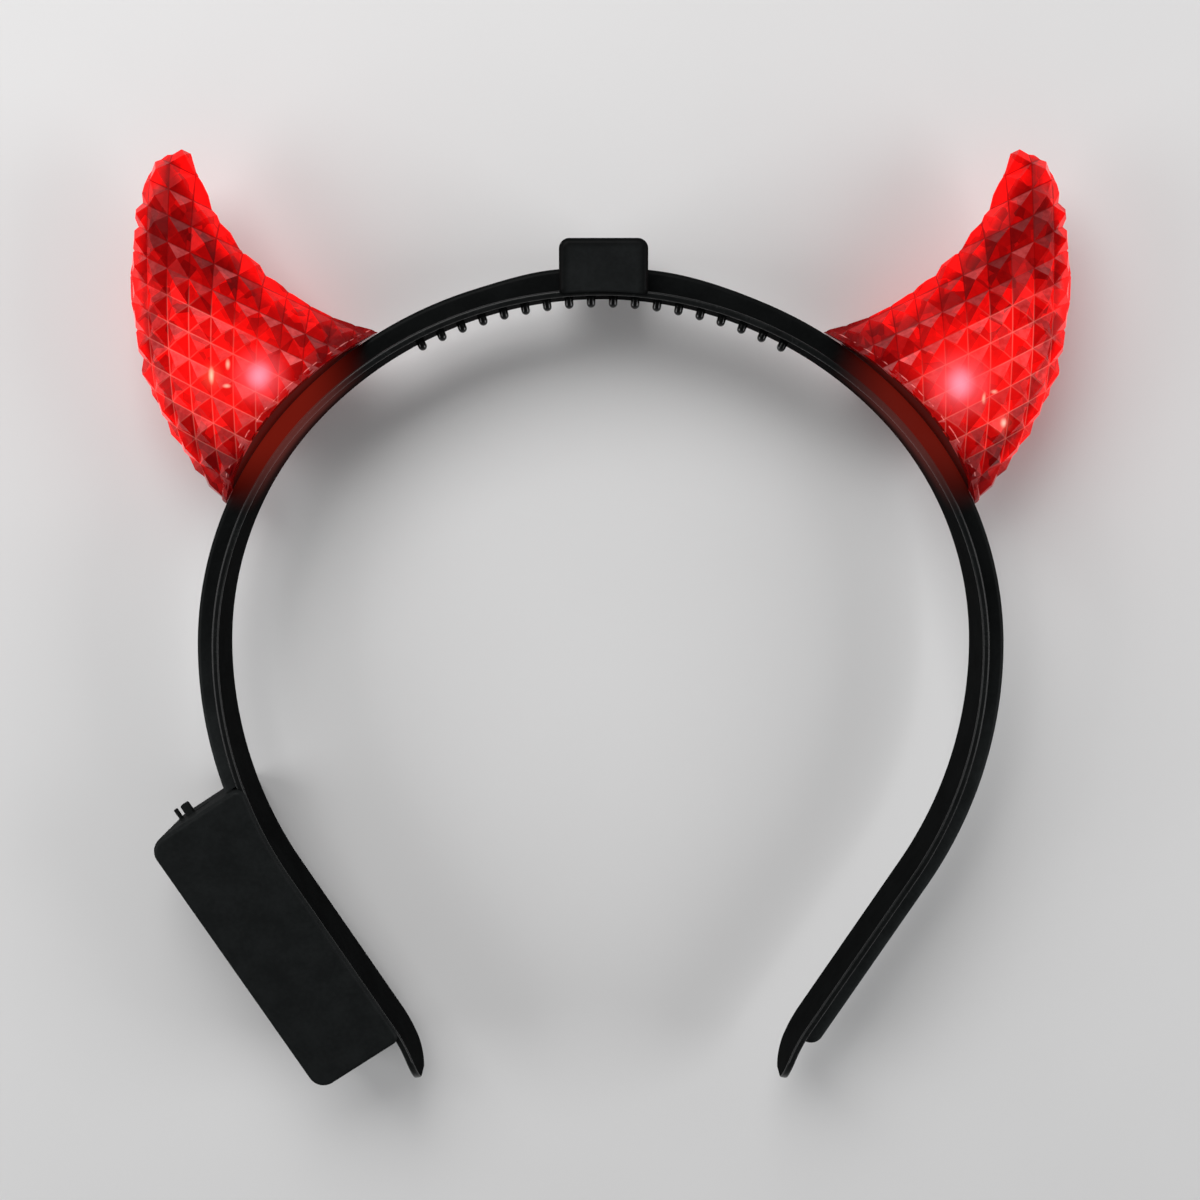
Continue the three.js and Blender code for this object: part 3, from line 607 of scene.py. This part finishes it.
def horn_finish():
    """Clear red plastic lit from inside.

    Each facet carries its own painted share of the lamp's light, and a painted reflection of pale light.
    Behind it, an irregular net of brighter and darker painted patches stands for the facets of the far wall.
    The painted light gathers along the outline, and painted shade dims the foot. Grooves and ridges carry
    painted highlights on the lamp's side, grooves carry painted shade towards the tip, and painted pale
    blooms lie about the lamp. A broken painted glint runs along the foot's lip.
    """
    finish = Finish("lit_red_plastic")
    facet = finish.add("ShaderNodeSeparateColor")
    shares = finish.add("ShaderNodeAttribute", attribute_name="facet")
    finish.give(facet.inputs[0], shares.outputs["Color"])
    light, pale, outer = facet.outputs
    foot = finish.add("ShaderNodeAttribute", attribute_name="foot").outputs["Fac"]
    across, along = finish.from_lamp()

    streaks = finish.noise(STREAKS["size"], STREAKS["detail"], STREAKS["roughness"])
    uneven = finish.math("ADD", finish.about_zero(finish.cells(PATCHES["size"]), PATCHES["strength"]),
                         finish.about_zero(streaks, STREAKS["strength"]))
    rim = finish.smooth(finish.from_outline(), RIM["full"], RIM["end"], 1.0, 0.0)
    low_light = RIM["foot_share"] * RIM["light"]
    rim_share = finish.smooth(foot, RIM["foot_start"], RIM["foot_end"], low_light, RIM["light"])
    light = finish.math("ADD", finish.times(rim, rim_share), finish.math("ADD", light, uneven))
    on_foot = finish.smooth(foot, FOOT_SHADE["start"], FOOT_SHADE["end"], FOOT_SHADE["share"], 1.0)
    light = finish.times(light, on_foot, outer)
    glow = finish.mix(finish.smooth(light, *MIDDLE_STEP), DEEP_RED, MIDDLE_RED)
    glow = finish.mix(finish.smooth(light, *FULL_STEP), glow, FULL_RED)

    broken = finish.smooth(streaks, PALE_BREAK["start"], PALE_BREAK["end"], PALE_BREAK["share"], 1.0)
    inside = finish.smooth(rim, PALE_RIM["start"], PALE_RIM["end"], 1.0, PALE_RIM["share"])
    glow = finish.mix(finish.times(pale, broken, inside), glow, PALE_LIGHT, blend="ADD")

    # Painted highlights on the grooves and ridges on the lamp's side.
    grooves, ridges = lattice_lines(finish)
    tipward = finish.math("MULTIPLY_ADD", across, LINE["lean"], along)
    away = finish.length(finish.math("SUBTRACT", across, LINE["out"]),
                         finish.math("SUBTRACT", along, LINE["up"]))
    near = finish.smooth(away, LINE["near"], LINE["far"], 1.0, 0.0)
    lit_side = finish.times(finish.smooth(tipward, *LIT_FADE, 1.0, 0.0), near, outer)
    for lines, strength in ((grooves, LINE["grooves"]), (ridges, LINE["ridges"])):
        glow = finish.mix(finish.times(lines, lit_side, strength), glow, LINE_LIGHT, blend="ADD")
    # Painted shade darkens the grooves towards the tip.
    dark_side = finish.times(finish.smooth(tipward, *DARK_FADE, 0.0, DARK_SHARE), outer)
    glow = finish.mix(finish.times(grooves, dark_side), glow, DEEP_RED)

    # The painted blooms of glow and glints about the lamps.
    on_right = finish.math("SIGN", finish.place_apart()[0])
    for horn, place_x, place_y, wide, tall, strength, colour in BLOOMS:
        spot = finish.length(finish.math("DIVIDE", finish.math("SUBTRACT", across, place_x), wide),
                             finish.math("DIVIDE", finish.math("SUBTRACT", along, place_y), tall))
        bloom = finish.times(finish.smooth(spot, 0.0, 1.0, strength, 0.0), outer)
        if horn:
            bloom = finish.times(bloom, finish.math("COMPARE", on_right, horn, 0.5))
        glow = finish.mix(bloom, glow, colour)

    # The painted glint on the foot's lip.
    from_lip = finish.math("ABSOLUTE", finish.math("SUBTRACT", foot, HORN["lip"]))
    lip = finish.smooth(from_lip, LIP["full"], LIP["end"], 1.0, 0.0)
    dashes = finish.smooth(finish.noise(LIP["dash"], detail=1.0), LIP["dash_start"], LIP["dash_end"])
    glow = finish.mix(finish.times(lip, dashes, outer), glow, GLINT, blend="ADD")
    finish.set(Base_Color=HORN_BODY, Roughness=0.08, IOR=1.10, Specular_IOR_Level=0.5,
               Transmission_Weight=0.5, Emission_Color=glow, Emission_Strength=1.0)
    finish.bump(finish.noise(RIPPLES["size"], RIPPLES["detail"]), RIPPLES["depth"])
    return finish.material


def lamp_finish():
    """A lit lamp: brightest round its middle, redder towards its flange."""
    finish = Finish("lit_lamp")
    near = finish.smooth(finish.length(*finish.from_lamp()), *LAMP_FADE, 1.0, 0.0)
    finish.set(Base_Color=LAMP_BODY, Roughness=0.12, IOR=1.5,
               Emission_Color=finish.mix(near, LAMP_FLANGE, LAMP_HEART), Emission_Strength=1.5)
    finish.bump(finish.noise(LAMP_RIPPLES["size"]), LAMP_RIPPLES["depth"])
    return finish.material


HORN_RED = horn_finish()
LAMP_LIT = lamp_finish()

# The hoop with its teeth

tip_run = BAND["tip_round"] * (1 - np.cos(np.linspace(0.0, np.pi / 2, BAND["tip_stations"])))
leg_run = np.linspace(0.0, RUN_END - BAND["tip_round"], BAND["stations"])
right_half = np.concatenate([leg_run[:-1], RUN_END - tip_run[::-1]])
band_stations = np.concatenate([-right_half[:0:-1], right_half])[:, None]
left_over = RUN_END - np.abs(band_stations)
thinner = draw_in(left_over, BAND["edge"])
half_thick = BAND["half"] - thinner
half_depth = BAND["depth"] / 2 - draw_in(left_over, BAND["tip_round"])
band_edge = BAND["edge"] - BAND["tip_edge_loss"] * thinner
band_out, band_depth = section(-half_thick, half_thick, half_depth, band_edge, band_edge)
band_rings = swept(band_stations, band_out, band_depth)
band = skin("band_hoop", band_rings, POLISHED)
band.data.materials.append(BAND_EDGE)
# The inner and the outer face are polished, and all between them takes the edge's black.
on_edge = np.ones(band_rings.shape[1], np.int32)
on_edge[[len(on_edge) // 2 - 1, -1]] = 0
band.data.polygons.foreach_set("material_index", np.append(np.tile(on_edge, len(band_rings) - 1), [0, 0]))
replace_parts(band, "band")

tooth_number = np.arange(TEETH["count"]) - (TEETH["count"] - 1) / 2
tooth_angle = np.radians(tooth_number * TEETH["spacing"] + TEETH["shift"])
tooth_foot, tooth_out = on_band(tooth_angle * CROWN_RADIUS, -BAND["half"])
tooth_profile = np.concatenate([
    [[TEETH["radius"], -TEETH["root"]], [TEETH["radius"], 0.0]],
    dome_profile(TEETH["radius"], TEETH["length"], TEETH["dome_steps"]),
])
skin("band_teeth", turned(tooth_foot, -tooth_out, tooth_profile, TEETH["sides"]), TOOTH_BLACK)

# The wire rail

rail_part = np.linspace(0.0, 1.0, RAIL["stations"])[:, None]


def beside_crown_box(side, out):
    """Where the rail ends at the crown box: the distance at which a line at this offset meets its gap."""
    wall = CROWN_BOX["centre"] * side + CROWN_BOX["width"] / 2 + RAIL["end_gap"]
    return CROWN_RADIUS * np.arcsin(wall / (CROWN_RADIUS + out))


def rail_height(run):
    """The rail's outer offset along a run from the crown box: a smooth step up towards the box."""
    distance = CROWN_BOX["width"] / 2 + run * (LEG_START - CROWN_BOX["width"] / 2)
    part = np.clip((RAIL["rise_from"] - distance) / (RAIL["rise_from"] - RAIL["rise_to"]), 0.0, 1.0)
    return RAIL["outside"] + RAIL["rise"] * part * part * (3 - 2 * part)


def rail_left():
    """The left rail: straight cuts at both ends, one beside each box."""
    out, depth = section(RAIL["inside"], rail_height(rail_part), RAIL["depth"] / 2,
                         RAIL["groove"], RAIL["edge"])
    top = beside_crown_box(-1, out)
    end = LEG_START - SIDE_RADIUS * np.arcsin((RAIL["end_gap"] - BATTERY_BOX["start"]) / (SIDE_RADIUS + out))
    return swept(-(top + (end - top) * rail_part), out, depth)


def rail_right():
    """The right rail: a straight cut beside the crown box, and a nose that draws in to the leg at its end."""
    end = LEG_START + RAIL["past_leg"]
    to_end = NOSE["length"] * (1 - np.cos(np.linspace(0.0, np.pi / 2, NOSE["stations"])))[::-1, None]
    before_nose = np.zeros_like(rail_part[:-1])
    low = np.concatenate([before_nose, draw_in(to_end, NOSE["length"])])
    part = np.concatenate([rail_part[:-1], np.ones_like(to_end)])
    out, depth = section(RAIL["inside"], rail_height(part) - NOSE["drop"] * low,
                         RAIL["depth"] / 2 - NOSE["narrow"] * low, RAIL["groove"],
                         RAIL["edge"] - NOSE["edge_loss"] * low)
    top = beside_crown_box(1, out)
    body = top + (end - NOSE["length"] - top) * part
    nose = np.concatenate([before_nose, NOSE["length"] - to_end])
    return swept(body + nose, out, depth)


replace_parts(skin("rail_left", rail_left(), RAIL_BLACK), "wire_cover_left")
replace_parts(skin("rail_right", rail_right(), RAIL_BLACK), "wire_cover_right")

# The crown box

box_left = CROWN_BOX["centre"] - CROWN_BOX["width"] / 2
box_right = CROWN_BOX["centre"] + CROWN_BOX["width"] / 2
foot_x = np.linspace(box_left, box_right, CROWN_BOX["foot_points"])
foot_y = np.sqrt(CROWN_RADIUS ** 2 - foot_x ** 2)
# The foot's points next to its ends are left out, to make room for the rounded corners.
crown_foot = np.delete(np.stack([foot_x, foot_y], -1), [1, -2], axis=0)
crown_top = [[box_right, CROWN_BOX["top"]], [box_left, CROWN_BOX["top"]]]
crown_corners = np.concatenate([crown_foot, crown_top])
crown_rounds = np.zeros(len(crown_corners))
crown_rounds[[0, len(crown_foot) - 1]] = CROWN_BOX["foot_corner"]
crown_rounds[-2:] = CROWN_BOX["corner"]
crown_outline = rounded_outline(crown_corners, crown_rounds)
# The rounded edge is narrower where the outline faces the hoop.
crown_share = 1 - CROWN_BOX["foot_edge_loss"] * np.clip(-crown_outline[1][:, 1], 0.0, 1.0) ** 2
crown_rings = slab_rings(crown_outline, MID - CROWN_BOX["depth"] / 2, MID + CROWN_BOX["depth"] / 2,
                         CROWN_BOX["edge"], crown_share)
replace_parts(skin("crown_housing", placed(crown_rings, in_loop), CROWN_BLACK), "crown_box")

# The battery box, its lid and its switch


def box_outline(start, end, inside, outside, inner_corner, corner, curved=True):
    """A box's outline beside the leg.

    The inner side keeps its distance from the hoop, which is straight on the leg and an arc above it, and the
    other three sides are straight.
    """
    clear = inner_corner * BATTERY_BOX["corner_clear"]
    between = np.linspace(start + clear, end - clear, BATTERY_BOX["inner_points"])
    along = np.concatenate([[start], between, [end]])
    radius = SIDE_RADIUS + inside
    arc = np.sqrt(radius ** 2 - np.minimum(along, 0.0) ** 2) - SIDE_RADIUS
    inner = np.stack([along, arc if curved else np.full_like(along, inside)], -1)
    corners = np.concatenate([inner, [[end, outside], [start, outside]]])
    rounds = np.zeros(len(corners))
    rounds[[0, len(inner) - 1]] = inner_corner
    rounds[-2:] = corner
    return rounded_outline(corners, rounds)


def battery_rings():
    """Rings from the lid's seat out over the back, up the sides and over the front.

    Each row is (distance of the inner side from the hoop, height, inset): behind the hoop the box stands
    back, beside it only the gap is left, and its front lip reaches over the hoop's edge.
    """
    box = BATTERY_BOX
    beside = BAND["half"] + GAP
    behind = beside + box["back_clear"]
    band_back = MID - BAND["depth"] / 2 - GAP
    band_front = MID + BAND["depth"] / 2 + GAP
    rise, inset = edge_round(box["edge"])
    rows = [(behind, height, back) for height, back in zip(rise, inset)]
    rows += [(behind, band_back, 0.0), (beside, band_back, 0.0), (beside, band_front, 0.0),
             (-BAND["half"], band_front, 0.0)]
    rows += [(-BAND["half"], box["front"] - height, back) for height, back in zip(rise[::-1], inset[::-1])]
    room, _ = box_outline(box["start"] + box["wall"], box["end"] - box["wall"], beside + box["wall"],
                          box["out"] - box["wall"], box["room_corner"], box["room_corner"], curved=False)
    rings = [raised(room[None], np.array([height])) for height in (box["lid"] + GAP, 0.0)]
    for inside, height, back in rows:
        points, normals = box_outline(box["start"], box["end"], inside, box["out"],
                                      box["inner_corner"], box["corner"])
        rings.append(raised((points - back * normals)[None], np.array([height])))
    return placed(np.concatenate(rings), beside_leg)


def knob_outline():
    """The slide button seen from the front: a neck that carries a thick rib and a thin one."""
    top = BATTERY_BOX["start"]
    root = top + SWITCH["root"]
    inside = SWITCH["block"] - SWITCH["block_thick"] / 2
    outside = SWITCH["blade"] + SWITCH["blade_thick"] / 2
    block, blade = top - SWITCH["block_tall"], top - SWITCH["blade_tall"]
    block_out, blade_in = inside + SWITCH["block_thick"], outside - SWITCH["blade_thick"]
    corners = [[root, inside], [root, outside], [blade, outside], [blade, blade_in], [top, blade_in],
               [top, block_out], [block, block_out], [block, inside]]
    rounds = [KNOB_ROUND[place] for place in ("root", "blade", "neck", "block") for _ in range(2)]
    return rounded_outline(corners, rounds, steps=6)


def slot_cutter():
    """The hole that the button slides in, as long as the button and its travel."""
    inside = SWITCH["block"] - SWITCH["block_thick"] / 2 - SWITCH["travel"] - GAP
    outside = SWITCH["blade"] + SWITCH["blade_thick"] / 2 + GAP
    top = BATTERY_BOX["start"] - SLOT["outside"]
    low = BATTERY_BOX["start"] + SLOT["deep"]
    corners = [[top, inside], [low, inside], [low, outside], [top, outside]]
    half = SWITCH["depth"] / 2 + GAP
    rings = slab_rings(rounded_outline(corners, [SLOT["corner"]] * 4, steps=3), SWITCH["height"] - half,
                       SWITCH["height"] + half, SLOT["edge"])
    return placed(rings, beside_leg)


def cut_from(piece, cutter):
    """Takes the cutter's space out of the piece, and the cutter out of the scene."""
    cut = piece.modifiers.new("slot", "BOOLEAN")
    cut.operation = "DIFFERENCE"
    cut.solver = "EXACT"
    cut.object = cutter
    with bpy.context.temp_override(object=piece, active_object=piece):
        bpy.ops.object.modifier_move_to_index(modifier="slot", index=0)
        bpy.ops.object.modifier_apply(modifier="slot")
    bpy.data.meshes.remove(cutter.data)


battery = skin("battery_housing", battery_rings(), SATIN)
cut_from(battery, skin("slot_space", slot_cutter(), SATIN))
battery.data.set_sharp_from_angle(angle=math.radians(SHARP_ANGLE))
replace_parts(battery, "battery_box")

lid_in = BATTERY_BOX["wall"] + GAP
lid_outline = box_outline(BATTERY_BOX["start"] + lid_in, BATTERY_BOX["end"] - lid_in,
                          BAND["half"] + GAP + lid_in, BATTERY_BOX["out"] - lid_in,
                          BATTERY_BOX["lid_corner"], BATTERY_BOX["lid_corner"], curved=False)
lid_rings = slab_rings(lid_outline, 0.0, BATTERY_BOX["lid"], BATTERY_BOX["lid_edge"])
lid = skin("battery_lid", placed(lid_rings, beside_leg), SATIN)
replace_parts(lid, "battery_cover")

knob_rings = slab_rings(knob_outline(), SWITCH["height"] - SWITCH["depth"] / 2,
                        SWITCH["height"] + SWITCH["depth"] / 2, SWITCH["edge"])
knob = skin("switch_button", placed(knob_rings, beside_leg), SATIN, body="switch", sharp=60.0)
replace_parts(knob, "switch_knob")

# The horns, their seats and their lamps

# The painted light of upper, lower, outward and inward facets, and how far it varies.
FACET_LIGHT = np.array([0.10, 0.22, 0.32, 0.05])
FACET_SPREAD = 0.34
# Light round a place out and up from the lamp, on the horn's outer side, and towards its tip.
HOT = dict(out=5.0, up=3.0, reach=13.5, light=0.70)
OUTER_SIDE = dict(start=66.0, width=8.0, up=7.0, reach=11.0, light=0.54)
TIPWARDS = dict(start=84.0, length=8.0, light=0.26)
# Light lost low on the horn, away from the lamp.
FAR_LOW = dict(away=12.0, width=10.0, below=71.0, height=6.0, loss=0.8)
# Painted reflection of pale light on upper facets: its range, reach round the lamp, and loss below the lamp.
PALE = dict(least=0.28, spread=0.57, far_share=0.33, reach=11.0, below=5.0, height=6.0, loss=0.62)
# Factors that scatter a facet's column, row and kind over the numbers from 0 to 1.
SCATTER = dict(column=12.9898, row=78.233, kind=37.719, spread=43758.5)


def ramp(value, start, length):
    """Runs straight from 0 to 1 while the value runs from the start over the length."""
    return np.clip((value - start) / length, 0, 1)


def facet_shares(middle, normal):
    """Each facet's share of the lamp's light and of the pale light, and whether it is on the outer skin.

    A stud's facets are told apart by where their middle lies in the lattice's cell: the upper ones get a
    painted reflection of pale light, and of the others the outward ones get the most painted light. This
    painted light grows towards the lamp, the outer side and the tip, is dimmed low on the horn away from the
    lamp, and differs from facet to facet.
    """
    across, up = np.abs(middle[:, 0]), middle[:, 1] - LOOP_Y
    column = (across - STUD["x"]) / STUD["column"]
    row = (up - STUD["y"] - column * STUD["rise"]) / STUD["row"]
    side, rise = np.mod(column, 1) - 0.5, np.mod(row, 1) - 0.5
    upper = rise > np.abs(side)
    kind = np.select([upper, rise < -np.abs(side), side > 0], [0, 1, 2], 3)
    mixed = np.floor(column) * SCATTER["column"] + np.floor(row) * SCATTER["row"] + kind * SCATTER["kind"]
    chance = np.modf(np.abs(np.sin(mixed)) * SCATTER["spread"])[0]
    from_lamp_x, from_lamp_y = across - GLOW_X, middle[:, 1] - GLOW_Y
    away = np.hypot(from_lamp_x, from_lamp_y)
    hot = np.hypot(from_lamp_x - HOT["out"], from_lamp_y - HOT["up"])
    beside = np.exp(-((from_lamp_y - OUTER_SIDE["up"]) / OUTER_SIDE["reach"]) ** 2)
    beside *= ramp(across, OUTER_SIDE["start"], OUTER_SIDE["width"])
    light = FACET_LIGHT[kind] + FACET_SPREAD * (chance - 0.5)
    light += HOT["light"] * np.exp(-(hot / HOT["reach"]) ** 2)
    light += OUTER_SIDE["light"] * beside
    light += TIPWARDS["light"] * ramp(up, TIPWARDS["start"], TIPWARDS["length"])
    low = ramp(-up, -FAR_LOW["below"], FAR_LOW["height"])
    light *= 1 - FAR_LOW["loss"] * ramp(away, FAR_LOW["away"], FAR_LOW["width"]) * low
    pale = np.where(upper, PALE["least"] + PALE["spread"] * chance, 0.0)
    pale *= PALE["far_share"] + (1 - PALE["far_share"]) * np.exp(-(away / PALE["reach"]) ** 2)
    pale *= 1 - PALE["loss"] * ramp(-from_lamp_y, PALE["below"], PALE["height"])
    outer = normal[:, 2] * (middle[:, 2] - MID) > 0
    return np.stack([np.maximum(light, 0.0), pale * outer, outer], -1)


def above_foot(points):
    """How far points lie out from a horn's foot: the least distance to the foot's line along the hoop."""
    line, _ = on_band(np.linspace(HORN["foot_from"], HORN["foot_to"], HORN["foot_steps"]), HORN["base"])
    return np.min(np.hypot(np.abs(points[:, :1]) - line[:, 0], points[:, 1:2] - line[:, 1]), axis=1)


def horn_piece(side):
    """A horn in one piece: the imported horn's facets with their loose corners merged, and their light."""
    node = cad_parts["horn_" + side].data
    corner = np.empty(len(node.loops), np.int32)
    node.loops.foreach_get("vertex_index", corner)
    place = np.empty(len(node.vertices) * 3)
    node.vertices.foreach_get("co", place)
    place = np.round(place.reshape(-1, 3) / MM, 4)
    points, index = np.unique(place, axis=0, return_inverse=True)
    faces = index.reshape(-1)[corner].reshape(-1, 3)
    faces = faces[np.all(faces != np.roll(faces, 1, axis=1), axis=1)]
    mesh = bpy.data.meshes.new("horn_shell_" + side)
    mesh.from_pydata(points * MM, [], faces.tolist())
    mesh.materials.append(HORN_RED)
    corners = points[faces]
    normal = unit(np.cross(corners[:, 1] - corners[:, 0], corners[:, 2] - corners[:, 0]))
    colours = np.ones((len(faces), 4), np.float32)
    colours[:, :3] = facet_shares(corners.mean(axis=1), normal)
    attribute = mesh.attributes.new("facet", "FLOAT_COLOR", "FACE")
    attribute.data.foreach_set("color", colours.ravel())
    height = mesh.attributes.new("foot", "FLOAT", "POINT")
    height.data.foreach_set("value", above_foot(points).astype(np.float32))
    piece = bpy.data.objects.new("horn_shell_" + side, mesh)
    bpy.context.scene.collection.objects.link(piece)
    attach(piece, "headband")
    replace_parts(piece, "horn_" + side)


flange_low = LAMP["flange_tall"] - LAMP["flange_edge"]
flange_in = LAMP["flange"] - LAMP["flange_edge"]
lamp_profile = np.concatenate([
    [[LAMP["flange"], 0.0], [LAMP["flange"], flange_low], [flange_in, LAMP["flange_tall"]],
     [LAMP["radius"], LAMP["flange_tall"]]],
    dome_profile(LAMP["radius"], LAMP["tall"], LAMP["dome_steps"]),
])
for foot, way, side in zip(LAMP_FOOT, LAMP_WAY, ("left", "right")):
    horn_piece(side)
    lamp_rings = turned(foot[None], way[None], lamp_profile, LAMP["sides"])
    lamp = skin("lamp_" + side, lamp_rings, LAMP_LIT)
    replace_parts(lamp, "led_" + side)
    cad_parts["horn_seat_" + side].material_slots[0].material = SEAT_BLACK

# Floor, light and camera

# reach (m), how far it lies below the headband (mm), size of its mottle (mm), colours
FLOOR = dict(reach=4.0, below=0.2, mottle=60.0, dark=(0.70, 0.70, 0.705, 1), light=(0.74, 0.74, 0.745, 1))


def floor():
    """A wide pale floor with a faint mottle."""
    finish = Finish("pale_floor")
    finish.set(Base_Color=finish.mix(finish.noise(FLOOR["mottle"]), FLOOR["dark"], FLOOR["light"]),
               Roughness=0.85)
    reach, low = FLOOR["reach"], -FLOOR["below"] * MM
    mesh = bpy.data.meshes.new("floor")
    corners = [(-reach, -reach, low), (reach, -reach, low), (reach, reach, low), (-reach, reach, low)]
    mesh.from_pydata(corners, [], [(0, 1, 2, 3)])
    mesh.materials.append(finish.material)
    plane = bpy.data.objects.new("floor", mesh)
    bpy.context.scene.collection.objects.link(plane)


LIGHTS = [
    # name, place (m), aimed at (m), width (m), height (m), power (W), colour
    ("key_box", (-0.18, 0.46, 0.50), (0.0, 0.02, 0.0), 0.60, 0.40, 3.6, (1.0, 0.99, 0.98)),
    ("left_box", (-0.58, -0.04, 0.28), (0.0, -0.02, 0.0), 0.40, 0.34, 1.5, (1.0, 1.0, 1.0)),
    ("right_box", (0.58, -0.04, 0.28), (0.0, -0.02, 0.0), 0.40, 0.34, 1.7, (1.0, 1.0, 1.0)),
]


def soft_light(name, place, aim, width, height, power, colour):
    """A lamp with a rectangular face, turned towards its aim."""
    lamp = bpy.data.lights.new(name, "AREA")
    lamp.shape = "RECTANGLE"
    lamp.size = width
    lamp.size_y = height
    lamp.energy = power
    lamp.color = colour
    holder = bpy.data.objects.new(name, lamp)
    holder.location = place
    way = np.array(aim) - np.array(place)
    holder.rotation_euler = Vector(way).to_track_quat("-Z", "Y").to_euler()
    bpy.context.scene.collection.objects.link(holder)


def studio_air():
    """A room that is dim overhead and paler towards its walls: its light falls with the height looked at."""
    world = bpy.data.worlds.new("studio")
    world.use_nodes = True
    tree = world.node_tree
    apart = tree.nodes.new("ShaderNodeSeparateXYZ")
    tree.links.new(tree.nodes.new("ShaderNodeTexCoord").outputs["Generated"], apart.inputs[0])
    level = tree.nodes.new("ShaderNodeMapRange")
    tree.links.new(apart.outputs["Z"], level.inputs["Value"])
    for name, value in (("From Min", 0.2), ("From Max", 0.95), ("To Min", 0.4), ("To Max", 0.05)):
        level.inputs[name].default_value = value
    tree.links.new(level.outputs["Result"], tree.nodes["Background"].inputs["Strength"])
    tree.nodes["Background"].inputs["Color"].default_value = (0.99, 1.0, 1.0, 1)
    bpy.context.scene.world = world


floor()
for light_row in LIGHTS:
    soft_light(*light_row)
studio_air()
bpy.context.scene.view_settings.view_transform = "Standard"

camera_data = bpy.data.cameras.new("camera")
camera_data.sensor_width = CAMERA["sensor"]
camera_data.lens = CAMERA["lens"]
camera = bpy.data.objects.new("camera", camera_data)
camera.location = (CAMERA["across"] * MM, (LOOP_Y + CAMERA["up"]) * MM, (MID + CAMERA["above"]) * MM)
camera.rotation_euler = (math.radians(CAMERA["tilt"]), 0.0, 0.0)
bpy.context.scene.collection.objects.link(camera)
bpy.context.scene.camera = camera
